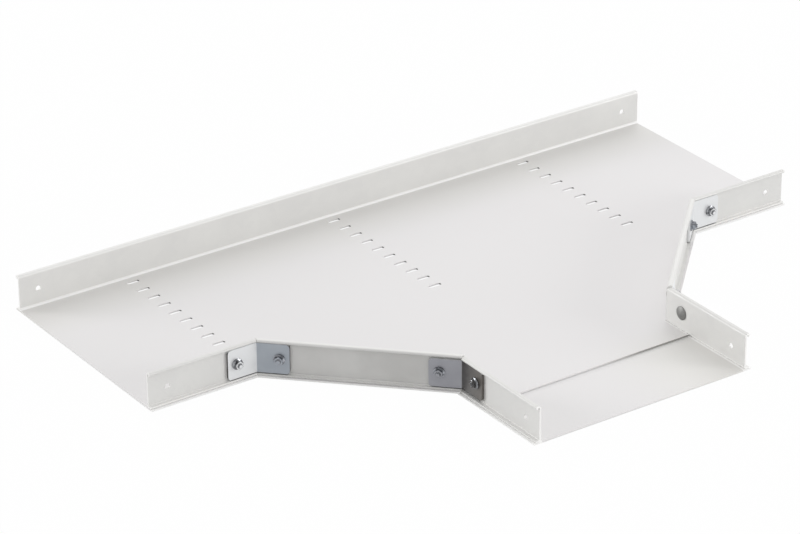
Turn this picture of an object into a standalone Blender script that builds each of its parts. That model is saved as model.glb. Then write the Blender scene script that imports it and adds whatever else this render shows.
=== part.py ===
"""Cable tray tee: a straight run, two 45 degree flares and a branch, in galvanised sheet steel.

Outward C rails stand on two floor plates, and bent connectors bolt the rails together where the
side wall turns. Units are metres and +Z is up. The run lies along X and the branch points to -Y.
The origin is the middle of the footprint, on the ground.
"""

import math

import bmesh
import bpy
from mathutils import Matrix, Vector

# Plan of the tray, measured between the inner faces of the side walls
TRAY_WIDTH = 0.300
STUB_LENGTH = 0.150
FLARE_LENGTH = 0.250
FLARE_ANGLE = math.radians(45)

# Sheet metal
SHEET = 0.002
BEND_RADIUS = 0.001
FIT_GAP = 0.0003

# Side rails
RAIL_HEIGHT = 0.0464
FLANGE_DEPTH = 0.0068
HEM_WIDTH = 0.0026
MITRE_GAP = 0.0004

# Floor plates
FLOOR_MARGIN = 0.0027
FLOOR_OVERLAP = 0.045

# Drain slots in the run's floor
SLOT_LENGTH = 0.0178
SLOT_WIDTH = 0.006
SLOT_PITCH = 0.025
SLOTS_IN_ROW = 10
SLOT_ROWS = 3
SLOT_ROW_PITCH = 0.300
SLOT_ROW_INSET = 0.1527

# Coupling holes near the free ends of the rails
COUPLING_RADIUS = 0.0035
COUPLING_INSET = 0.0265
COUPLING_HEIGHT = 0.0205

# Corner connectors
CONNECTOR_SHEET = 0.003
CONNECTOR_LIFT = 0.0003
CONNECTOR_HEADROOM = 0.0004
CONNECTOR_GAP = 0.0004
CONNECTOR_LEG = 0.042
CONNECTOR_CORNER = 0.005
CONNECTOR_BEND = 0.0015

# M6 bolts with mushroom heads, and flange nuts
BOLT_RADIUS = 0.003
BOLT_HOLE_RADIUS = 0.0035
BOLT_INSET = 0.0295
BOLT_END = 0.0022
HEAD_RADIUS = 0.0088
HEAD_HEIGHT = 0.003
HEAD_RIM = 0.0007
THREAD_CHAMFER = 0.0007
NUT_HEIGHT = 0.006
NUT_ACROSS_FLATS = 0.010
NUT_FLANGE_RADIUS = 0.0071
NUT_FLANGE_RIM = 0.0011
NUT_CHAMFER = 0.0009

# Length of the cylinders that cut the round holes
DRILL_DEPTH = 0.008

# Smoothness of round shapes
ARC_STEPS = 5
HEM_STEPS = 9
TURN_STEPS = 20
WELD = 0.000002

# Plan positions: the footprint is centred on the origin
FLARE_RUN = FLARE_LENGTH * math.cos(FLARE_ANGLE)
FLARE_DROP = FLARE_LENGTH * math.sin(FLARE_ANGLE)
HALF_BRANCH = TRAY_WIDTH / 2
HALF_MOUTH = HALF_BRANCH + FLARE_RUN
HALF_LENGTH = HALF_MOUTH + STUB_LENGTH
EDGE = FLANGE_DEPTH + FLOOR_MARGIN
FRONT_Y = (FLARE_DROP + STUB_LENGTH - TRAY_WIDTH - EDGE) / 2
BACK_Y = FRONT_Y + TRAY_WIDTH
FLARE_Y = FRONT_Y - FLARE_DROP
BRANCH_END_Y = FLARE_Y - STUB_LENGTH

# The side wall turns by the flare angle at the run, and by the rest of a right angle at the branch
RUN_TURN = FLARE_ANGLE
BRANCH_TURN = math.pi / 2 - FLARE_ANGLE

# Levels: the branch floor lies one sheet below the run's floor, and its rails with it
BRANCH_FLOOR_TOP = SHEET
MAIN_FLOOR_BOTTOM = BRANCH_FLOOR_TOP + FIT_GAP
MAIN_FLOOR_TOP = MAIN_FLOOR_BOTTOM + SHEET
MAIN_RAIL_BASE = MAIN_FLOOR_TOP + FIT_GAP
BRANCH_RAIL_BASE = BRANCH_FLOOR_TOP + FIT_GAP

# The lip's edge is folded back flat under the lip, and the connectors stand below that hem
HEM_HEIGHT = 2 * SHEET
BELOW_HEM = RAIL_HEIGHT - HEM_HEIGHT - CONNECTOR_HEADROOM
CONNECTOR_BASE = MAIN_RAIL_BASE + SHEET + CONNECTOR_LIFT
RUN_CONNECTOR_TOP = MAIN_RAIL_BASE + BELOW_HEM
BRANCH_CONNECTOR_TOP = BRANCH_RAIL_BASE + BELOW_HEM
BOLT_LEVEL = (CONNECTOR_BASE + RUN_CONNECTOR_TOP) / 2

# Distances outwards from a rail's inner face
CONNECTOR_FACE = SHEET + CONNECTOR_GAP
NUT_FACE = CONNECTOR_FACE + CONNECTOR_SHEET + FIT_GAP
BOLT_TIP = NUT_FACE + NUT_HEIGHT + BOLT_END


def clear_scene():
    for obj in list(bpy.data.objects):
        bpy.data.objects.remove(obj, do_unlink=True)


def new_collection(name):
    collection = bpy.data.collections.new(name)
    bpy.context.scene.collection.children.link(collection)
    return collection


clear_scene()
PARTS = new_collection("cable_tray_tee")
CUTTERS = new_collection("cutters")


def add_object(name, data, collection=PARTS):
    obj = bpy.data.objects.new(name, data)
    collection.objects.link(obj)
    return obj


def add_cutter(name, mesh):
    cutter = add_object(name, mesh, CUTTERS)
    cutter.hide_render = True
    cutter.display_type = "WIRE"
    return cutter


def mesh_from(bm, name):
    mesh = bpy.data.meshes.new(name)
    bm.to_mesh(mesh)
    bm.free()
    return mesh


def finish(obj, colour, roughness, metallic=0.9):
    """Gives one piece its own metal finish, smooth on the bends and crisp on the cut edges."""
    material = bpy.data.materials.new(obj.name + "_finish")
    material.use_nodes = True
    shader = material.node_tree.nodes["Principled BSDF"]
    shader.inputs["Base Color"].default_value = (*colour, 1)
    shader.inputs["Roughness"].default_value = roughness
    shader.inputs["Metallic"].default_value = metallic
    obj.data.materials.clear()
    obj.data.materials.append(material)
    obj.data.shade_smooth()
    obj.data.set_sharp_from_angle(angle=math.radians(35))


def evaluated_mesh(obj):
    """Mesh of an object with its modifiers worked out. The object itself is removed."""
    bpy.context.view_layer.update()
    graph = bpy.context.evaluated_depsgraph_get()
    mesh = bpy.data.meshes.new_from_object(obj.evaluated_get(graph))
    bpy.data.objects.remove(obj, do_unlink=True)
    return mesh


def flat_solid(name, loops, thickness):
    """Sheet cut along flat loops: the first is its rim, and any others are holes in it."""
    curve = bpy.data.curves.new(name, "CURVE")
    curve.dimensions = "2D"
    curve.fill_mode = "BOTH"
    curve.extrude = thickness / 2
    for loop in loops:
        spline = curve.splines.new("POLY")
        spline.points.add(len(loop) - 1)
        for point, place in zip(spline.points, loop):
            point.co = (place[0], place[1], 0, 1)
        spline.use_cyclic_u = True
    mesh = evaluated_mesh(add_object(name, curve))
    bm = bmesh.new()
    bm.from_mesh(mesh)
    bmesh.ops.remove_doubles(bm, verts=bm.verts, dist=WELD)
    bmesh.ops.recalc_face_normals(bm, faces=bm.faces)
    bm.to_mesh(mesh)
    bm.free()
    return mesh


def arc(centre, radius, start_deg, end_deg, steps=ARC_STEPS):
    points = []
    for step in range(steps + 1):
        angle = math.radians(start_deg + (end_deg - start_deg) * step / steps)
        points.append((centre[0] + radius * math.cos(angle), centre[1] + radius * math.sin(angle)))
    return points


def cut(obj, cutter, operation="DIFFERENCE"):
    modifier = obj.modifiers.new(cutter.name, "BOOLEAN")
    modifier.operation = operation
    modifier.solver = "EXACT"
    modifier.object = cutter


def heading(start, end):
    return math.atan2(end[1] - start[1], end[0] - start[0])


def beside(start, end, along, outward):
    """Point on plan at a distance along a rail, and outwards from its inner face."""
    run = Vector((end[0] - start[0], end[1] - start[1])).normalized()
    return Vector(start) + run * along + Vector((run.y, -run.x)) * outward


def mitred_end(length, turn, outward):
    """Where a rail stops, at a distance outwards, if the wall then turns away by this angle."""
    gap = MITRE_GAP / 2 / math.cos(turn / 2) if turn else 0
    return length - outward * math.tan(turn / 2) - gap


def rail_section():
    """Outline of the C section: the first coordinate is outwards, the second is upwards.

    The lip ends in a hem, folded back flat under it, so that no cut edge faces a hand or a cable.
    """
    outer = BEND_RADIUS + SHEET
    top = RAIL_HEIGHT - outer
    hem = FLANGE_DEPTH - HEM_WIDTH
    return [
        (FLANGE_DEPTH, 0),
        *arc((outer, outer), outer, 270, 180),
        *arc((outer, top), outer, 180, 90),
        *arc((FLANGE_DEPTH - SHEET, RAIL_HEIGHT - SHEET), SHEET, 90, -90, HEM_STEPS),
        (hem, RAIL_HEIGHT - HEM_HEIGHT),
        (hem, RAIL_HEIGHT - SHEET),
        *arc((outer, top), BEND_RADIUS, 90, 180),
        *arc((outer, outer), BEND_RADIUS, 180, 270),
        (FLANGE_DEPTH, SHEET),
    ]


def hole_cutter(name, places):
    """Cylinders through upright sheet metal, one for each (centre, radius, turn about Z)."""
    bm = bmesh.new()
    for centre, radius, turn in places:
        across = Matrix.Rotation(turn, 4, "Z") @ Matrix.Rotation(math.pi / 2, 4, "X")
        bmesh.ops.create_cone(
            bm,
            cap_ends=True,
            segments=TURN_STEPS,
            radius1=radius,
            radius2=radius,
            depth=DRILL_DEPTH,
            matrix=Matrix.Translation(centre) @ across,
        )
    return add_cutter(name, mesh_from(bm, name))


def side_rail(name, start, end, base, turns, holes):
    """C rail standing on a floor plate, open outwards, mitred where the side wall turns.

    Its own X runs from start to end and its own -Y points out of the tray. A hole is
    (distance along, height above the foot, radius).
    """
    length = math.dist(start, end)
    mesh = flat_solid(name, [rail_section()], length)
    for vert in mesh.vertices:
        outward, height, side = vert.co
        if side > 0:
            along = length - mitred_end(length, turns[0], outward)
        else:
            along = mitred_end(length, turns[1], outward)
        vert.co = (along, -outward, height)
    rail = add_object(name, mesh)
    rail.location = (start[0], start[1], base)
    rail.rotation_euler.z = heading(start, end)
    spots = [((along, -SHEET / 2, height), radius, 0) for along, height, radius in holes]
    drill = hole_cutter(name + "_holes", spots)
    drill.parent = rail
    cut(rail, drill)
    finish(rail, (0.66, 0.655, 0.64), 0.5)


def bolt_hole(along, base):
    return (along, BOLT_LEVEL - base, BOLT_HOLE_RADIUS)


def side_wall(side, points):
    """Front rail, diagonal rail and branch rail of one side, in the order in which the wall runs."""
    pieces = {"front": MAIN_RAIL_BASE, "diagonal": MAIN_RAIL_BASE, "branch": BRANCH_RAIL_BASE}
    corner_turns = [0, RUN_TURN, BRANCH_TURN, 0]
    order = list(pieces)
    if side == "right":
        order.reverse()
        corner_turns.reverse()
    for index, piece in enumerate(order):
        start, end = points[index], points[index + 1]
        base = pieces[piece]
        length = math.dist(start, end)
        holes = []
        if index == 0:
            holes.append((COUPLING_INSET, COUPLING_HEIGHT, COUPLING_RADIUS))
        else:
            holes.append(bolt_hole(BOLT_INSET, base))
        if index == 2:
            holes.append((length - COUPLING_INSET, COUPLING_HEIGHT, COUPLING_RADIUS))
        else:
            holes.append(bolt_hole(length - BOLT_INSET, base))
        turns = (corner_turns[index], corner_turns[index + 1])
        side_rail(f"{side}_{piece}_rail", start, end, base, turns, holes)


def back_wall():
    start, end = (HALF_LENGTH, BACK_Y), (-HALF_LENGTH, BACK_Y)
    length = 2 * HALF_LENGTH
    middle = RAIL_HEIGHT / 2
    holes = [(along, middle, COUPLING_RADIUS) for along in (COUPLING_INSET, length - COUPLING_INSET)]
    side_rail("back_rail", start, end, MAIN_RAIL_BASE, (0, 0), holes)


def slot_loop(x, y):
    """Slot with round ends, its long way along the run."""
    reach = (SLOT_LENGTH - SLOT_WIDTH) / 2
    radius = SLOT_WIDTH / 2
    return arc((x + reach, y), radius, -90, 90) + arc((x - reach, y), radius, 90, 270)


def slot_loops():
    loops = []
    for row in range(SLOT_ROWS):
        x = SLOT_ROW_INSET - HALF_LENGTH + row * SLOT_ROW_PITCH
        for index in range(SLOTS_IN_ROW):
            loops.append(slot_loop(x, BACK_Y - SLOT_PITCH * (index + 0.5)))
    return loops


def main_floor(left_wall):
    """Floor of the run and both flares, with a tongue that laps over the branch's floor."""
    free_end, run_corner, flare_corner, _ = left_wall
    tongue_x = -HALF_BRANCH + FIT_GAP
    tongue_y = FLARE_Y - FLOOR_OVERLAP
    flare_end = mitred_end(FLARE_LENGTH, BRANCH_TURN, EDGE)
    flare_edge = beside(run_corner, flare_corner, flare_end, EDGE)
    notch_y = flare_edge.y + (tongue_x - flare_edge.x) * math.tan(BRANCH_TURN / 2)
    left_half = [
        (-HALF_LENGTH, BACK_Y + EDGE),
        (-HALF_LENGTH, free_end[1] - EDGE),
        (run_corner[0] - EDGE * math.tan(RUN_TURN / 2), run_corner[1] - EDGE),
        tuple(flare_edge),
        (tongue_x, notch_y),
        (tongue_x, tongue_y),
    ]
    right_half = [(-x, y) for x, y in reversed(left_half)]
    sheet = flat_solid("main_floor", [left_half + right_half, *slot_loops()], SHEET)
    floor = add_object("main_floor", sheet)
    floor.location.z = MAIN_FLOOR_BOTTOM + SHEET / 2
    finish(floor, (0.78, 0.77, 0.765), 0.45)


def branch_floor():
    """Floor of the branch, which runs back under the main floor as far as the flare corners."""
    side = HALF_BRANCH + EDGE
    rim = [(-side, FLARE_Y), (-side, BRANCH_END_Y), (side, BRANCH_END_Y), (side, FLARE_Y)]
    floor = add_object("branch_floor", flat_solid("branch_floor", [rim], SHEET))
    floor.location.z = BRANCH_FLOOR_TOP - SHEET / 2
    finish(floor, (0.78, 0.77, 0.765), 0.45)


def connector_path(turn):
    """Plan line of a connector's inner face: leg, bend and leg, with the wall corner at the origin."""
    dip = turn / 2
    bend = CONNECTOR_BEND + CONNECTOR_SHEET
    centre = (0, -(CONNECTOR_FACE + bend) / math.cos(dip))
    dip_deg = math.degrees(dip)
    end_x = CONNECTOR_LEG * math.cos(dip) - CONNECTOR_FACE * math.sin(dip)
    end_y = -CONNECTOR_LEG * math.sin(dip) - CONNECTOR_FACE * math.cos(dip)
    return [(-end_x, end_y), *arc(centre, bend, 90 + dip_deg, 90 - dip_deg), (end_x, end_y)]


def corner_connector(name, before, corner, after, turn, top):
    """Bent plate outside the corner of two rails, with rounded corners and a bolt hole in each leg."""
    bm = bmesh.new()
    verts = [bm.verts.new((x, y, 0)) for x, y in connector_path(turn)]
    edges = [bm.edges.new(pair) for pair in zip(verts, verts[1:])]
    raised = bmesh.ops.extrude_edge_only(bm, edges=edges)["geom"]
    upper = [item for item in raised if isinstance(item, bmesh.types.BMVert)]
    bmesh.ops.translate(bm, verts=upper, vec=(0, 0, top - CONNECTOR_BASE))
    leg_ends = [vert for vert in bm.verts if len(vert.link_edges) == 2]
    bmesh.ops.bevel(
        bm, geom=leg_ends, offset=CONNECTOR_CORNER, segments=ARC_STEPS, profile=0.5, affect="VERTICES"
    )
    bmesh.ops.recalc_face_normals(bm, faces=bm.faces)
    plate = add_object(name, mesh_from(bm, name))
    plate.location = (corner[0], corner[1], CONNECTOR_BASE)
    plate.rotation_euler.z = heading(before, corner) - turn / 2
    thicken = plate.modifiers.new("sheet", "SOLIDIFY")
    thicken.thickness = CONNECTOR_SHEET
    thicken.offset = -1 if faces_inwards(plate.data) else 1
    thicken.use_even_offset = True
    drill_connector(plate, turn)
    finish(plate, (0.52, 0.54, 0.57), 0.3)


def faces_inwards(mesh):
    """True where the sheet's normals point to the wall, on the plate's own +Y side."""
    return sum(polygon.normal.y * polygon.area for polygon in mesh.polygons) > 0


def drill_connector(plate, turn):
    middle = CONNECTOR_FACE + CONNECTOR_SHEET / 2
    spots = []
    for side in (-1, 1):
        x = side * (BOLT_INSET * math.cos(turn / 2) - middle * math.sin(turn / 2))
        y = -BOLT_INSET * math.sin(turn / 2) - middle * math.cos(turn / 2)
        spots.append(((x, y, BOLT_LEVEL - CONNECTOR_BASE), BOLT_HOLE_RADIUS, -side * turn / 2))
    drill = hole_cutter(plate.name + "_holes", spots)
    drill.parent = plate
    cut(plate, drill)


def turned(name, profile, closed=False):
    """Solid turned about Z. The profile runs down its outer side, from top to bottom."""
    bm = bmesh.new()
    verts = [bm.verts.new((radius, 0, height)) for radius, height in profile]
    ring = verts + verts[:1] if closed else verts
    for pair in zip(ring, ring[1:]):
        bm.edges.new(pair)
    obj = add_object(name, mesh_from(bm, name))
    screw = obj.modifiers.new("turn", "SCREW")
    screw.steps = TURN_STEPS
    screw.render_steps = TURN_STEPS
    screw.use_merge_vertices = True
    screw.merge_threshold = WELD
    return obj


def bolt_mesh():
    """Mushroom head bolt: Z points out of the tray, and 0 is the rail's inner face."""
    dome = HEAD_HEIGHT - HEAD_RIM
    ball = (HEAD_RADIUS**2 + dome**2) / (2 * dome)
    spread = math.degrees(math.asin(HEAD_RADIUS / ball))
    crown = -FIT_GAP - HEAD_HEIGHT
    profile = [
        (0, BOLT_TIP),
        (BOLT_RADIUS - THREAD_CHAMFER, BOLT_TIP),
        (BOLT_RADIUS, BOLT_TIP - THREAD_CHAMFER),
        (BOLT_RADIUS, -FIT_GAP),
        (HEAD_RADIUS, -FIT_GAP),
        *arc((0, crown + ball), ball, spread - 90, -90, 3),
    ]
    return evaluated_mesh(turned("bolt", profile))


def nut_mesh():
    """Hexagon flange nut: Z points away from its seat, which is at 0."""
    corner = NUT_ACROSS_FLATS / 2 / math.cos(math.pi / 6)
    bore = BOLT_RADIUS + FIT_GAP
    cap = [
        (bore, NUT_HEIGHT),
        (corner - NUT_CHAMFER, NUT_HEIGHT),
        (corner + NUT_CHAMFER, NUT_HEIGHT - NUT_CHAMFER),
        (corner + NUT_CHAMFER, NUT_FLANGE_RIM / 2),
        (bore, NUT_FLANGE_RIM / 2),
    ]
    flange = [
        (bore, 2 * NUT_FLANGE_RIM),
        (NUT_ACROSS_FLATS / 2, 2 * NUT_FLANGE_RIM),
        (NUT_FLANGE_RADIUS, NUT_FLANGE_RIM),
        (NUT_FLANGE_RADIUS, 0),
        (bore, 0),
    ]
    hexagon = bmesh.new()
    bmesh.ops.create_cone(
        hexagon, cap_ends=True, segments=6, radius1=corner, radius2=corner, depth=2 * NUT_HEIGHT
    )
    nut = turned("nut", cap, closed=True)
    prism = add_cutter("nut_prism", mesh_from(hexagon, "nut_prism"))
    cut(nut, prism, "INTERSECT")
    collar = turned("nut_collar", flange, closed=True)
    cut(nut, collar, "UNION")
    mesh = evaluated_mesh(nut)
    bpy.data.objects.remove(collar, do_unlink=True)
    bpy.data.objects.remove(prism, do_unlink=True)
    return mesh


def fasteners(side, points):
    """A bolt through each leg of the connectors of one side, with its nut outside."""
    spots = ["run", "flare_run", "flare_branch", "branch"]
    if side == "right":
        spots.reverse()
    far_end = math.dist(points[1], points[2]) - BOLT_INSET
    places = [(0, STUB_LENGTH - BOLT_INSET), (1, BOLT_INSET), (1, far_end), (2, BOLT_INSET)]
    for spot, (rail, along) in zip(spots, places):
        start, end = points[rail], points[rail + 1]
        for kind, mesh, outward in (("bolt", BOLT_MESH, 0), ("nut", NUT_MESH, NUT_FACE)):
            piece = add_object(f"{side}_{spot}_{kind}", mesh.copy())
            place = beside(start, end, along, outward)
            piece.location = (place.x, place.y, BOLT_LEVEL)
            piece.rotation_euler = (math.pi / 2, 0, heading(start, end))
            finish(piece, (0.6, 0.61, 0.62), 0.25)


def mirrored(points):
    return [(-x, y) for x, y in reversed(points)]


LEFT_WALL = [
    (-HALF_LENGTH, FRONT_Y),
    (-HALF_MOUTH, FRONT_Y),
    (-HALF_BRANCH, FLARE_Y),
    (-HALF_BRANCH, BRANCH_END_Y),
]
RIGHT_WALL = mirrored(LEFT_WALL)

main_floor(LEFT_WALL)
branch_floor()
back_wall()
side_wall("left", LEFT_WALL)
side_wall("right", RIGHT_WALL)
corner_connector("left_run_connector", *LEFT_WALL[:3], RUN_TURN, RUN_CONNECTOR_TOP)
corner_connector("left_branch_connector", *LEFT_WALL[1:], BRANCH_TURN, BRANCH_CONNECTOR_TOP)
corner_connector("right_branch_connector", *RIGHT_WALL[:3], BRANCH_TURN, BRANCH_CONNECTOR_TOP)
corner_connector("right_run_connector", *RIGHT_WALL[1:], RUN_TURN, RUN_CONNECTOR_TOP)
BOLT_MESH = bolt_mesh()
NUT_MESH = nut_mesh()
fasteners("left", LEFT_WALL)
fasteners("right", RIGHT_WALL)
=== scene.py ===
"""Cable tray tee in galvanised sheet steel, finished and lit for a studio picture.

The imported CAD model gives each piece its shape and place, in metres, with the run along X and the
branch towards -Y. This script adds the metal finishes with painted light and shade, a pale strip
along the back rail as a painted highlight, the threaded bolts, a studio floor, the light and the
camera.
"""

import math

import bmesh
import bpy
from mathutils import Matrix, Vector


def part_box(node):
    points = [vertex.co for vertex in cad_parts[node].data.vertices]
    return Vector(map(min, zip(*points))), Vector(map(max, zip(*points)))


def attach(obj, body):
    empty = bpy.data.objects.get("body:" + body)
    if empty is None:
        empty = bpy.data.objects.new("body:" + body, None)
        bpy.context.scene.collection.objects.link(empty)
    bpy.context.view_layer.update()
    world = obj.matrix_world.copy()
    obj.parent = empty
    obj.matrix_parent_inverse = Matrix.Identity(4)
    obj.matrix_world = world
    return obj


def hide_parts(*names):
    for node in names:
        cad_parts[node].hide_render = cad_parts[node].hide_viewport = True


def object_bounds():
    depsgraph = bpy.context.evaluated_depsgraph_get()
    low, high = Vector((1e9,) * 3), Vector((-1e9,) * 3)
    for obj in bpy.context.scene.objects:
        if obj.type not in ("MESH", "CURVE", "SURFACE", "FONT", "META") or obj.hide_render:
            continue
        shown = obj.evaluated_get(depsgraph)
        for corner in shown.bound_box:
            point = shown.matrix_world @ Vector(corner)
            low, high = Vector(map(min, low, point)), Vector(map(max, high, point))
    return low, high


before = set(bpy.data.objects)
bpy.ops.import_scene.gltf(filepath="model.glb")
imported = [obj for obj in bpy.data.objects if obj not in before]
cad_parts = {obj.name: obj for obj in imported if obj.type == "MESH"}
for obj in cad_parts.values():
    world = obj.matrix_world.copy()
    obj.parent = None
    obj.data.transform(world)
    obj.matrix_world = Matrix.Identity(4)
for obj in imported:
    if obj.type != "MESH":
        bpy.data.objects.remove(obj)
packed_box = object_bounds()


# FLOOR PLATES
# Two sheets of 2 mm steel, galvanised before they were cut. The run's sheet is punched with three
# rows of drain slots and laps over the branch's sheet, and both are spot welded under the rails.

FLOOR_LIGHT = (0.835, 0.82, 0.823)
FLOOR_DARK = (0.79, 0.779, 0.778)
# Painted shade on the floor by the back wall and by the right branch wall.
FLOOR_SHADE_BY_WALL = (0.79, 0.78, 0.762)
FLOOR_SHADE_BY_BRANCH_WALL = (0.80, 0.79, 0.765)
# Painted light on the cut edges, on the margins outside the rails and along the branch rails' feet.
FLOOR_PAINTED_LIGHT = (0.97, 0.965, 0.955)
# Painted shade in the ends of the slots that face -X.
SLOT_END_SHADE = (0.30, 0.295, 0.29)
STEP_SHADE = (0.42, 0.415, 0.40)
FLOOR_CLOUD_SCALE = 5.0
GRAIN_STRETCH = (60.0, 1400.0, 1400.0)
FOOT_STRIP = 0.0025
FOOT_FADE = 0.001
HAIR = 0.0003

# Each pair says where a tone begins and where it is full, in metres from the middle of the tee.
PAINTED_LIGHT_TO_RIGHT = (-0.35, 0.35)
NEAR_BACK_WALL = (0.20, 0.29)
NEAR_BRANCH_WALL = (-0.02, 0.12)
NEAR_BRANCH_WALL_AHEAD = (0.16, 0.24)
MARGIN_AWAY = (0.31, 0.312)
MARGIN_AHEAD = (0.17, 0.172)
BRANCH_FOOT_AHEAD = (0.168, 0.17)
SLOTS_AWAY = (0.45, 0.44)
SLOTS_BACK = (0.01, 0.02)
STEP_ACROSS = (-0.03, 0.13)
STEP_BACK = (-0.3, -0.29)
STEP_AHEAD = (0.05, 0.06)


class Socket:
    """One output of a shader node. Sums of sockets and numbers add the Math nodes they need."""

    def __init__(self, finish, output):
        self.finish = finish
        self.output = output

    def maths(self, operation, first, second):
        return self.finish.node("Math", {"operation": operation}, {0: first, 1: second})

    def __add__(self, other):
        return self.maths("ADD", self, other)

    def __sub__(self, other):
        return self.maths("SUBTRACT", self, other)

    def __mul__(self, other):
        return self.maths("MULTIPLY", self, other)

    def __rsub__(self, other):
        return self.maths("SUBTRACT", other, self)

    __radd__ = __add__
    __rmul__ = __mul__


class Finish:
    """A material in the making, with a Principled shader as its surface."""

    def __init__(self, name):
        self.material = bpy.data.materials.new(name)
        self.material.use_nodes = True
        self.tree = self.material.node_tree
        self.surface = self.tree.nodes["Principled BSDF"]

    def node(self, kind, settings, sockets, output=0):
        """Adds a node. Its settings come first, then the value or the link of each socket."""
        node = self.tree.nodes.new("ShaderNode" + kind)
        for name, value in settings.items():
            setattr(node, name, value)
        self.fill(node, sockets)
        return Socket(self, node.outputs[output])

    def fill(self, node, sockets):
        for name, value in sockets.items():
            if isinstance(value, Socket):
                self.tree.links.new(value.output, node.inputs[name])
            else:
                node.inputs[name].default_value = value

    def place(self, stretch=(1, 1, 1)):
        """Position on the object in metres, scaled along each axis."""
        position = self.node("TexCoord", {}, {}, "Object")
        scaled = {"operation": "MULTIPLY"}
        return self.node("VectorMath", scaled, {0: position, 1: stretch})

    def facing(self):
        """The way that the surface faces on the tee."""
        return self.node("NewGeometry", {}, {}, "Normal")

    def axes(self, vector, names):
        """The named axes of a vector, each one as a number."""
        return [self.node("SeparateXYZ", {}, {"Vector": vector}, name) for name in names]

    def unsigned(self, value):
        return self.node("Math", {"operation": "ABSOLUTE"}, {0: value})

    def noise(self, place, scale, detail=2.0, roughness=0.5):
        sockets = {"Vector": place, "Scale": scale, "Detail": detail, "Roughness": roughness}
        return self.node("TexNoise", {}, sockets, "Fac")

    def tone(self, share, first, second):
        """Colour between two, each of them a plain colour or a socket that carries one."""
        pair = [value if isinstance(value, Socket) else (*value, 1) for value in (first, second)]
        return self.node("Mix", {"data_type": "RGBA"}, {0: share, 6: pair[0], 7: pair[1]}, 2)

    def relief(self, height, depth):
        """Bump of a depth in metres."""
        return self.node("Bump", {}, {"Height": height, "Distance": depth})

    def between(self, value, low, high):
        """0 at the low value and 1 at the high one, smooth in between. High may be the smaller."""
        sockets = {"Value": value, "From Min": low, "From Max": high}
        return self.node("MapRange", {"interpolation_type": "SMOOTHSTEP"}, sockets)


def dress(nodes, finish):
    for name in nodes:
        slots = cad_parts[name].data.materials
        slots.clear()
        slots.append(finish.material)


def floor_finish():
    """Zinc with a fine grain, with painted light towards the right, on the cut edges and margins
    outside the rails and along the branch rails' feet, and painted shade by the walls, in the slots'
    ends and on the step's face.
    """
    finish = Finish("floor_sheet_galvanised")
    patch = finish.between(finish.noise(finish.place(), FLOOR_CLOUD_SCALE, 3.0), 0.3, 0.7)
    grain = finish.noise(finish.place(GRAIN_STRETCH), 1.0, 3.0, 0.6)
    x, y = finish.axes(finish.place(), "XY")
    away, ahead = finish.unsigned(x), 0 - y
    aside, up = finish.axes(finish.facing(), "XZ")
    standing = finish.between(up * up, 0.6, 0.2)

    # Painted light: the floor grows lighter towards the right.
    painted_light_lean = finish.between(x, *PAINTED_LIGHT_TO_RIGHT)
    zinc = finish.tone(patch * 0.35 + painted_light_lean * 0.45 + grain * 0.2, FLOOR_DARK, FLOOR_LIGHT)
    # Painted shade by the back wall and by the right branch wall.
    zinc = finish.tone(finish.between(y, *NEAR_BACK_WALL), zinc, FLOOR_SHADE_BY_WALL)
    near_branch = finish.between(x, *NEAR_BRANCH_WALL)
    near_branch = near_branch * finish.between(ahead, *NEAR_BRANCH_WALL_AHEAD)
    zinc = finish.tone(near_branch, zinc, FLOOR_SHADE_BY_BRANCH_WALL)

    # Painted light on the cut edges and margins outside the rails.
    front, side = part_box("left_front_rail")[0][1], -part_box("left_branch_rail")[0][0]
    outside = finish.between(front - y, 0.0, HAIR) * finish.between(away, side, side + HAIR)
    margin = finish.between(away, *MARGIN_AWAY) + finish.between(ahead, *MARGIN_AHEAD)
    zinc = finish.tone((standing + margin) * outside, zinc, FLOOR_PAINTED_LIGHT)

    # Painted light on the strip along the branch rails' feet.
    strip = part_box("right_branch_rail")[0][0] - FOOT_STRIP
    foot = finish.between(away, strip, strip + FOOT_FADE)
    zinc = finish.tone(foot * finish.between(ahead, *BRANCH_FOOT_AHEAD), zinc, FLOOR_PAINTED_LIGHT)

    step = standing * finish.between(y, *STEP_BACK) * finish.between(ahead, *STEP_AHEAD)
    step = step * finish.between(away, side, side - HAIR) * finish.between(x, *STEP_ACROSS)
    zinc = finish.tone(step, zinc, STEP_SHADE)

    # Painted shade in the ends of the slots that face -X.
    slot_end_shade = finish.between(0 - aside, 0.45, 0.75) * finish.between(away, *SLOTS_AWAY)
    slot_end_shade = slot_end_shade * finish.between(y, *SLOTS_BACK)
    finish.fill(
        finish.surface,
        {
            "Base Color": finish.tone(slot_end_shade, zinc, SLOT_END_SHADE),
            "Metallic": 0.15,
            "Roughness": 0.5 + patch * 0.06 + grain * 0.08,
            "Normal": finish.relief(grain, 0.00002),
        },
    )
    return finish


dress(["main_floor", "branch_floor"], floor_finish())


# SIDE RAILS
# C sections roll formed from galvanised strip, open away from the tray, with a lip folded back on
# itself. They are sawn at 22.5 degrees where the wall turns, and their feet are spot welded to the
# floor plates.

RAIL_LIGHT = (0.80, 0.795, 0.775)
RAIL_DARK = (0.75, 0.745, 0.73)
# Painted shade for the faces of the left diagonal wall.
RAIL_PAINTED_SHADE = (0.56, 0.555, 0.54)
# Pale tone: painted highlight on the bends, the lip and the outside of the foot, and also the tone
# of the sawn ends.
RAIL_PALE = (0.97, 0.965, 0.95)
SPANGLE_SCALE = 95.0
WOBBLE_SCALE = 40.0
WOBBLE_REACH = 0.012
RAIL_CLOUD_SCALE = 14.0
INNER_BEND = 0.0036
FOOT_SHEET = 0.0026
BEND_FADE = 0.0008
LIP_EDGE = (0.0425, 0.044)
SAW_START = 0.0004
SAW_FULL = 0.0002
TRAY_MIDDLE = 0.16

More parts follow.
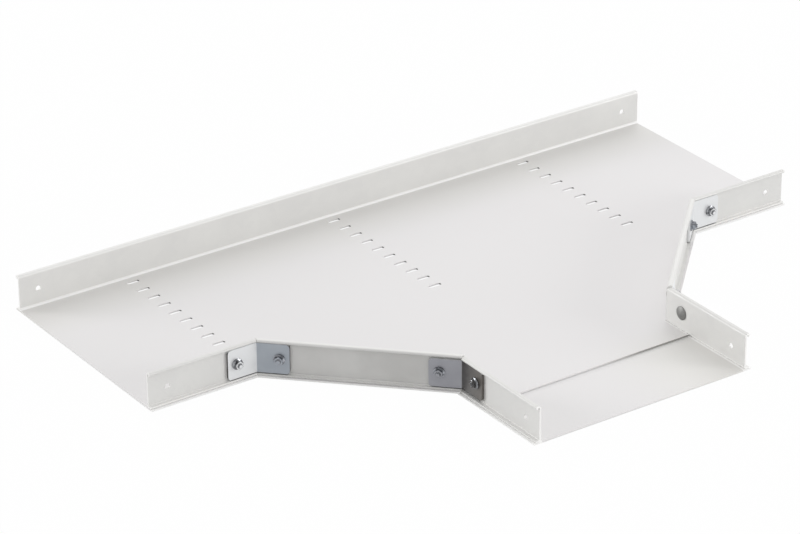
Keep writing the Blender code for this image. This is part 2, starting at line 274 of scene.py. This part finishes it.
# The rails of each run, and how much painted highlight the outside of their foot and their lip take.
RAIL_RUNS = {
    "back_rail": (["back_rail"], 0.75, 0.4),
    "run_rail": (["left_front_rail", "right_front_rail"], 0.75, 0.0),
    "flare_rail": (["left_diagonal_rail", "right_diagonal_rail"], 0.2, 0.3),
    "branch_rail": (["left_branch_rail", "right_branch_rail"], 0.4, 0.0),
}


def rail_finish(name, underside, foot_share, lip_share):
    """Zinc with a faint spangle, painted shade on faces towards -X -Y and +X +Y, which are the left
    diagonal wall's, painted highlights at the bends, the lip and the foot, and lighter at the sawn
    ends.
    """
    finish = Finish(f"{name}_galvanised")
    place = finish.place()
    x, y, z = finish.axes(place, "XYZ")
    turn_x, turn_y = finish.axes(finish.facing(), "XY")
    inward = finish.between((TRAY_MIDDLE - y) * turn_y - x * turn_x, 0.0, 0.02)

    wobble = finish.noise(place, WOBBLE_SCALE, 2.0)
    drift = finish.node("VectorMath", {"operation": "ADD"}, {0: place, 1: wobble * WOBBLE_REACH})
    cell = finish.node("TexVoronoi", {}, {"Vector": drift, "Scale": SPANGLE_SCALE}, "Color")
    spangle = finish.node("SeparateColor", {}, {"Color": cell}, "Red")
    cloud = finish.between(finish.noise(place, RAIL_CLOUD_SCALE, 3.0), 0.3, 0.7)
    metal = finish.tone(spangle * 0.35 + cloud * 0.65, RAIL_DARK, RAIL_LIGHT)
    # Painted shade on faces towards -X -Y and +X +Y, those of the left diagonal wall.
    painted_shade_metal = finish.tone(cloud * 0.5 + 0.25, RAIL_PAINTED_SHADE, RAIL_DARK)
    metal = finish.tone(finish.between(turn_x * turn_y, 0.25, 0.5), metal, painted_shade_metal)

    # Painted highlight on the inner bend at the foot, on the outside of the foot and on the lip
    # edge.
    height = z - underside
    foot = finish.between(FOOT_SHEET - height, 0.0, BEND_FADE) * (1 - inward) * foot_share
    painted_highlight = finish.between(INNER_BEND - height, 0.0, BEND_FADE) * inward + foot
    painted_highlight = painted_highlight + finish.between(height, *LIP_EDGE) * lip_share
    metal = finish.tone(painted_highlight, metal, RAIL_PALE)

    # Lighter at the sawn ends, in the same pale tone.
    right_end, front_end = packed_box[1][0], -packed_box[0][1]
    sawn = finish.between(finish.unsigned(x), right_end - SAW_START, right_end - SAW_FULL) * 0.5
    sawn = sawn + finish.between(0 - y, front_end - SAW_START, front_end - SAW_FULL)
    finish.fill(
        finish.surface,
        {
            "Base Color": finish.tone(sawn, metal, RAIL_PALE),
            "Metallic": 0.15,
            "Roughness": 0.42 + spangle * 0.12,
            "Normal": finish.relief(spangle * 0.4 + cloud, 0.00005),
        },
    )
    return finish


for name, (rails, foot_share, lip_share) in RAIL_RUNS.items():
    dress(rails, rail_finish(name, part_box(rails[0])[0][2], foot_share, lip_share))


# BACK SEAM
# A thin pale fillet strip in the corner along the foot of the back rail. Its pale tone is a painted
# highlight, for the light line along the foot of the wall.

SEAM_LIGHT = (0.96, 0.955, 0.95)
SEAM_DARK = (0.88, 0.875, 0.87)
SEAM_SET_BACK = 0.00035
SEAM_REACH = 0.0015
SEAM_HEIGHT = 0.0018
SEAM_STEPS = 8
SEAM_BEHIND = [(0.0006, 0.001), (0.0014, 0.0003), (0.0014, 0.0)]
SEAM_END_GAP = 0.0002
SEAM_LIFT = 0.00002
SHARP_BEND = math.radians(32)


def smooth_mesh(name, bm):
    """Mesh of a closed shape, smooth but for its sharp bends."""
    bmesh.ops.recalc_face_normals(bm, faces=bm.faces)
    mesh = bpy.data.meshes.new(name)
    bm.to_mesh(mesh)
    bm.free()
    mesh.shade_smooth()
    mesh.set_sharp_from_angle(angle=SHARP_BEND)
    return mesh


def add(name, data):
    thing = bpy.data.objects.new(name, data)
    bpy.context.scene.collection.objects.link(thing)
    return thing


def seam_mesh(ends, wall, ground):
    """Prism along X with a hollow front face, which fills the corner under the rail's bend."""
    turns = [math.pi / 2 * step / SEAM_STEPS for step in range(SEAM_STEPS + 1)]
    front = [
        (wall - SEAM_REACH * (1 - math.sin(turn)), ground + SEAM_HEIGHT * (1 - math.cos(turn)))
        for turn in turns
    ]
    outline = front + [(wall + back, ground + rise) for back, rise in SEAM_BEHIND]
    bm = bmesh.new()
    near, far = ([bm.verts.new((x, *point)) for point in outline] for x in ends)
    for corner in range(len(outline)):
        after = (corner + 1) % len(outline)
        bm.faces.new((near[corner], near[after], far[after], far[corner]))
    bm.faces.new(near)
    bm.faces.new(far)
    return smooth_mesh("back_seam", bm)


def seam_finish():
    """Pale tone of a painted highlight, with fine streaks along it."""
    finish = Finish("seam_painted_highlight")
    fine_streaks = finish.noise(finish.place(GRAIN_STRETCH), 1.0, 3.0, 0.6)
    finish.fill(
        finish.surface,
        {
            "Base Color": finish.tone(fine_streaks, SEAM_DARK, SEAM_LIGHT),
            "Metallic": 0.1,
            "Roughness": 0.35 + fine_streaks * 0.15,
            "Normal": finish.relief(fine_streaks, 0.00002),
        },
    )
    return finish


rail_low, rail_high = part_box("back_rail")
seam_ends = (rail_low[0] + SEAM_END_GAP, rail_high[0] - SEAM_END_GAP)
seam_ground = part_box("main_floor")[1][2] + SEAM_LIFT
seam = add("back_seam", seam_mesh(seam_ends, rail_low[1] + SEAM_SET_BACK, seam_ground))
seam.data.materials.append(seam_finish().material)
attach(seam, "root")


# CORNER CONNECTORS
# Bent 3 mm plates, zinc plated and brighter than the rails. Each one stands in the open side of
# two rails where the wall turns, and a bolt through each leg clamps it to them.

PLATE_BRIGHT = (0.83, 0.84, 0.85)
# Painted shade: dark brown on faces towards -X and on the left branch legs, less dark towards the
# leg's end.
PLATE_SHADE_BROWN = (0.062, 0.058, 0.057)
PLATE_SHADE_BROWN_END = (0.135, 0.123, 0.111)
# Painted shadow on the left plates' +X ends and along every plate's lower edge.
PLATE_PAINTED_SHADOW = (0.07, 0.07, 0.07)
EDGE_BAND = 0.0009
BRUSH_STRETCH = (900.0, 900.0, 60.0)
PLATE_CLOUD_SCALE = 45.0
# Painted reflection: a blue-grey tone for the left plates' faces towards -X, one for each corner.
BLUE_PAINTED_REFLECTION = {"run": (0.375, 0.41, 0.455), "branch": (0.336, 0.34, 0.372)}


def connector_finish(corner):
    """Bright brushed zinc, with painted blue reflection on the left plates' faces towards -X,
    painted brown shade on faces towards -X and on the left branch legs, and painted shadow on the
    left plates' +X ends and along every lower edge.
    """
    finish = Finish(f"{corner}_connector_zinc")
    place = finish.place()
    brushed = finish.noise(finish.place(BRUSH_STRETCH), 1.0, 3.0, 0.6)
    cloud = finish.between(finish.noise(place, PLATE_CLOUD_SCALE, 2.0), 0.3, 0.7)
    aside, up = finish.axes(finish.facing(), "XZ")
    x, y, z = finish.axes(place, "XYZ")
    left = finish.between(0 - x, 0.0, 0.01)

    # Painted brown shade, darkest at the branch leg's bend.
    bend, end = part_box("left_branch_rail")[1][1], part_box("left_branch_connector")[0][1]
    along = finish.between(0 - y, -bend, -end)
    brown_shade = finish.tone(along, PLATE_SHADE_BROWN, PLATE_SHADE_BROWN_END)
    # Painted blue reflection on the left plates' faces towards -X.
    blue_reflection = finish.between(0 - aside, 0.1, 0.7) * left
    tone = finish.tone(blue_reflection, PLATE_BRIGHT, BLUE_PAINTED_REFLECTION[corner])
    tone = finish.tone(finish.between(0 - aside, 0.75, 0.98), tone, brown_shade)
    tone = finish.tone(finish.between(along, 0.02, 0.12) * left, tone, brown_shade)
    tone = finish.tone(cloud * 0.06, tone, PLATE_BRIGHT)

    # Painted shadow on the left plates' +X ends; faces that look up keep the plain bright zinc.
    tone = finish.tone(finish.between(aside, 0.3, 0.5) * left, tone, PLATE_PAINTED_SHADOW)
    tone = finish.tone(finish.between(up, 0.5, 0.8), tone, PLATE_BRIGHT)
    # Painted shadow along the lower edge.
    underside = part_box(f"left_{corner}_connector")[0][2]
    lower_edge_shadow = finish.between(underside + EDGE_BAND - z, 0.0, HAIR)
    finish.fill(
        finish.surface,
        {
            "Base Color": finish.tone(lower_edge_shadow, tone, PLATE_PAINTED_SHADOW),
            "Metallic": 0.3,
            "Roughness": 0.26 + brushed * 0.1,
            "Normal": finish.relief(brushed, 0.00002),
        },
    )
    return finish


for corner in BLUE_PAINTED_REFLECTION:
    plates = [f"{side}_{corner}_connector" for side in ("left", "right")]
    dress(plates, connector_finish(corner))


# BOLTS
# M6 mushroom head bolts, zinc plated, with rolled threads. Their heads lie inside the tray, where
# cables slide past them, and each one passes through a rail and a leg of a connector.

THREAD_PITCH = 0.001
THREAD_CREST = 0.00295
THREAD_ROOT = 0.00245
THREAD_START = 0.0007
PLAIN_SHANK = 0.006
HEAD_RADIUS = 0.0088
HEAD_HEIGHT = 0.003
HEAD_RIM = 0.0007
CROWN_STEPS = 12
ROUND_STEPS = 48
WELD = 0.000001
BOLT_HEAD_LIGHT = (0.40, 0.40, 0.39)
BOLT_HEAD_DARK = (0.16, 0.16, 0.155)
HEAD_FADE = 0.0002
BOLT_SPECKLE_SCALE = 700.0

# The ridge of the thread, as radii with heights in pitches, and the room that it takes.
THREAD_RIDGE = [(THREAD_ROOT, 0.0), (THREAD_CREST, 0.38), (THREAD_CREST, 0.5), (THREAD_ROOT, 0.88)]
RIDGE_ROOM = 0.9

# Light and dark tones of the threads and nuts at each leg, one zinc with painted light, shade and
# reflections for where the leg stands, and the painted tone of their ends, like the plate beside
# them.
ZINC_PAINTED_TONES = {
    "run": ((0.42, 0.43, 0.45), (0.045, 0.045, 0.05)),
    "flare_run": ((0.46, 0.475, 0.51), (0.12, 0.125, 0.14)),
    "flare_branch": ((0.40, 0.415, 0.445), (0.09, 0.095, 0.105)),
    "branch": ((0.32, 0.33, 0.345), (0.07, 0.07, 0.072)),
}
END_PAINTED_TONES = {
    "run": (0.80, 0.81, 0.82),
    "flare_run": (0.38, 0.41, 0.455),
    "flare_branch": (0.34, 0.345, 0.375),
    "branch": (0.11, 0.10, 0.095),
}
SPOTS = [f"{side}_{spot}" for side in ("left", "right") for spot in ZINC_PAINTED_TONES]


def node_points(name):
    return [vert.co.copy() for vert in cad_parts[name].data.vertices]


def middle(points):
    return sum(points, Vector()) / len(points)


def fastener_axis(spot):
    """Unit vector out of the tray, along a bolt and through its nut."""
    bolt, nut = (middle(node_points(f"{spot}_{kind}")) for kind in ("bolt", "nut"))
    return (nut - bolt).normalized()


def spin(bm, profile, angle, steps, lift=0.0):
    """Turns a profile of (radius, height) about Z, with a lift at each step for a helix."""
    verts = [bm.verts.new((radius, 0, height)) for radius, height in profile]
    edges = [bm.edges.new(pair) for pair in zip(verts, verts[1:])]
    return bmesh.ops.spin(
        bm,
        geom=verts + edges,
        cent=(0, 0, 0),
        axis=(0, 0, 1),
        dvec=(0, 0, lift),
        angle=angle,
        steps=steps,
    )["geom_last"]


def bolt_mesh(length):
    """Bolt with its crown at 0 and its tip at a length along Z."""
    dome = HEAD_HEIGHT - HEAD_RIM
    ball = (HEAD_RADIUS**2 + dome**2) / (2 * dome)
    spread = math.asin(HEAD_RADIUS / ball)
    crown = []
    for step in range(CROWN_STEPS + 1):
        turn = spread * step / CROWN_STEPS
        crown.append((ball * math.sin(turn), ball - ball * math.cos(turn)))
    body = [
        *crown,
        (HEAD_RADIUS, HEAD_HEIGHT),
        (THREAD_CREST, HEAD_HEIGHT),
        (THREAD_CREST, PLAIN_SHANK),
        (THREAD_ROOT, PLAIN_SHANK + THREAD_CREST - THREAD_ROOT),
        (THREAD_ROOT, length - THREAD_START / 2),
        (THREAD_ROOT - THREAD_START / 2, length),
        (0, length),
    ]
    bm = bmesh.new()
    spin(bm, body, math.tau, ROUND_STEPS)

    turns = int((length - PLAIN_SHANK - THREAD_START) / THREAD_PITCH)
    steps = turns * ROUND_STEPS // 2
    start = length - THREAD_START / 2 - (turns + RIDGE_ROOM) * THREAD_PITCH
    ridge = [(radius, start + share * THREAD_PITCH) for radius, share in THREAD_RIDGE]
    last = spin(bm, ridge, math.tau * turns, steps, turns * THREAD_PITCH / steps)
    bm.faces.new([item for item in last if isinstance(item, bmesh.types.BMVert)])
    bmesh.ops.remove_doubles(bm, verts=bm.verts, dist=WELD)
    return smooth_mesh("bolt", bm)


def bolt_finish(spot):
    """Dull and dark on the head, mottled with painted reflections on the thread in its leg's painted
    light and shade, and on the tip the painted tone of the plate beside it.
    """
    light, dark = ZINC_PAINTED_TONES[spot]
    finish = Finish(f"{spot}_bolt_zinc")
    place = finish.place()
    speckle = finish.noise(place, BOLT_SPECKLE_SCALE, 3.0, 0.6)
    tip_turn = finish.axes(finish.node("TexCoord", {}, {}, "Normal"), "Z")[0]
    tip = finish.between(tip_turn, 0.8, 0.95)
    head = finish.between(HEAD_HEIGHT - finish.axes(place, "Z")[0], 0, HEAD_FADE)
    # Painted reflections and shade: the thread takes its leg's tones, and the tip the painted tone
    # of the plate.
    thread = finish.tone(tip, finish.tone(speckle, dark, light), END_PAINTED_TONES[spot])
    crown = finish.tone(speckle, BOLT_HEAD_DARK, BOLT_HEAD_LIGHT)
    finish.fill(
        finish.surface,
        {
            "Base Color": finish.tone(head, thread, crown),
            "Metallic": 0.95 - tip * 0.65,
            "Roughness": 0.26 + head * 0.2 + speckle * 0.1,
            "Normal": finish.relief(speckle, 0.00004),
        },
    )
    return finish


bolt_meshes = {}
for spot in SPOTS:
    cad_bolt = node_points(f"{spot}_bolt")
    axis = fastener_axis(spot)
    reach = [point.dot(axis) for point in cad_bolt]
    length = round(max(reach) - min(reach), 6)
    leg = spot.partition("_")[2]
    if (leg, length) not in bolt_meshes:
        bolt_meshes[leg, length] = bolt_mesh(length)
        bolt_meshes[leg, length].materials.append(bolt_finish(leg).material)
    centre = middle(cad_bolt)
    crown_place = Matrix.Translation(centre + axis * (min(reach) - centre.dot(axis)))
    bolt = add(f"{spot}_threaded_bolt", bolt_meshes[leg, length])
    bolt.matrix_world = crown_place @ axis.to_track_quat("Z", "Y").to_matrix().to_4x4()
    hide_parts(f"{spot}_bolt")
    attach(bolt, "root")


# NUTS
# M6 hexagon nuts with a flange in one piece, cold formed and zinc plated, spun down on the
# connectors outside the tray. The one behind the right branch rail takes paler tones, as painted
# light.

# Painted light: paler tones for the nut behind the right branch rail.
PAINTED_LIGHT_NUT = ((0.90, 0.90, 0.91), (0.72, 0.72, 0.73))
NUT_SPECKLE_SCALE = 900.0
NUT_CLOUD_SCALE = 230.0


def nut_finish(name, spot, light, dark):
    """Zinc mottled light and dark on a nut's flats as painted reflections, in its leg's painted
    light and shade, and on its end the painted tone of the plate under it.
    """
    finish = Finish(name)
    place = finish.place()
    speckle = finish.noise(place, NUT_SPECKLE_SCALE, 3.0, 0.6)
    cloud = finish.between(finish.noise(place, NUT_CLOUD_SCALE, 2.0), 0.36, 0.64)
    turn_x, turn_y = finish.axes(finish.facing(), "XY")
    out = fastener_axis(f"left_{spot}")
    # Painted reflections and shade: the flats take the leg's tones, and the end the painted tone of
    # the plate.
    end = finish.between(finish.unsigned(turn_x) * abs(out.x) + turn_y * out.y, 0.9, 0.98)
    flats = finish.tone(cloud * 0.8 + speckle * 0.2, dark, light)
    finish.fill(
        finish.surface,
        {
            "Base Color": finish.tone(end, flats, END_PAINTED_TONES[spot]),
            "Metallic": 0.95 - end * 0.65,
            "Roughness": 0.24 + speckle * 0.12,
            "Normal": finish.relief(speckle, 0.00002),
        },
    )
    return finish


for spot, (light, dark) in ZINC_PAINTED_TONES.items():
    nuts = [f"{side}_{spot}_nut" for side in ("left", "right")]
    dress(nuts, nut_finish(f"{spot}_nut_zinc", spot, light, dark))
dress(["right_flare_branch_nut"], nut_finish("painted_light_nut_zinc", "flare_branch", *PAINTED_LIGHT_NUT))


# STUDIO FLOOR
# A plain sweep of white paper that the tee lies on. The camera sees it as white, and it keeps a
# soft shadow of the tee.

PAPER_HALF = 8.0
PAPER_DROP = 0.0003
PAPER_TONE = (0.76, 0.76, 0.76, 1)
WHITE_SHARE = 0.985

bm = bmesh.new()
bmesh.ops.create_grid(bm, x_segments=1, y_segments=1, size=PAPER_HALF)
paper_mesh = bpy.data.meshes.new("studio_floor")
bm.to_mesh(paper_mesh)
bm.free()
studio_floor = add("studio_floor", paper_mesh)
studio_floor.location.z = packed_box[0][2] - PAPER_DROP

paper = Finish("studio_paper")
paper.fill(paper.surface, {"Base Color": PAPER_TONE, "Roughness": 0.9})
rays = [f"Is {kind} Ray" for kind in ("Camera", "Glossy", "Transmission")]
seen, mirrored, through = (paper.node("LightPath", {}, {}, ray) for ray in rays)
seen_share = (seen + mirrored + through) * WHITE_SHARE
white = paper.node("Emission", {}, {"Color": (1, 1, 1, 1), "Strength": 1.0})
lit = Socket(paper, paper.surface.outputs[0])
sheet = paper.node("MixShader", {}, {0: seen_share, 1: lit, 2: white})
paper.fill(paper.tree.nodes["Material Output"], {"Surface": sheet})
paper_mesh.materials.append(paper.material)


# LIGHT
# An even pale room, and soft boxes: a large one high behind the tee on the right, and two low ones
# for the side walls. Each soft box has its place, its width and its power in watts.

ROOM_LEVEL = 0.69
SOFT_BOXES = {
    "key_softbox": ((4.4, 4.4, 5.8), 7.0, 136.0),
    "right_softbox": ((5.1, -5.4, 1.95), 2.7, 170.0),
    "left_softbox": ((-5.4, 5.1, 1.95), 2.7, 179.0),
}

world = bpy.data.worlds.new("pale_room")
world.use_nodes = True
background = world.node_tree.nodes["Background"].inputs
background["Color"].default_value = (1, 1, 1, 1)
background["Strength"].default_value = ROOM_LEVEL
bpy.context.scene.world = world

for name, (position, size, power) in SOFT_BOXES.items():
    lamp = bpy.data.lights.new(name, "AREA")
    lamp.shape = "DISK"
    lamp.size = size
    lamp.energy = power
    softbox = add(name, lamp)
    softbox.location = position
    softbox.rotation_euler = (-Vector(position)).to_track_quat("-Z", "Y").to_euler()


# CAMERA
# A long lens from the front left, above the tray, where the photograph was taken.

VIEW_AZIMUTH = math.radians(34.44)
VIEW_ELEVATION = math.radians(26.67)
VIEW_ROLL = math.radians(-0.466)
VIEW_DISTANCE = 4.6546
VIEW_LENS = 167.67
VIEW_SENSOR = 36.0
VIEW_TARGET = Vector((-0.0307, 0.1377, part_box("main_floor")[1][2]))

forward = Vector(
    (
        math.sin(VIEW_AZIMUTH) * math.cos(VIEW_ELEVATION),
        math.cos(VIEW_AZIMUTH) * math.cos(VIEW_ELEVATION),
        -math.sin(VIEW_ELEVATION),
    )
)
camera_data = bpy.data.cameras.new("camera")
camera_data.lens = VIEW_LENS
camera_data.sensor_width = VIEW_SENSOR
camera = add("camera", camera_data)
turn = forward.to_track_quat("-Z", "Y").to_matrix().to_4x4() @ Matrix.Rotation(VIEW_ROLL, 4, "Z")
camera.matrix_world = Matrix.Translation(VIEW_TARGET - forward * VIEW_DISTANCE) @ turn
bpy.context.scene.camera = camera
bpy.context.scene.view_settings.view_transform = "Standard"
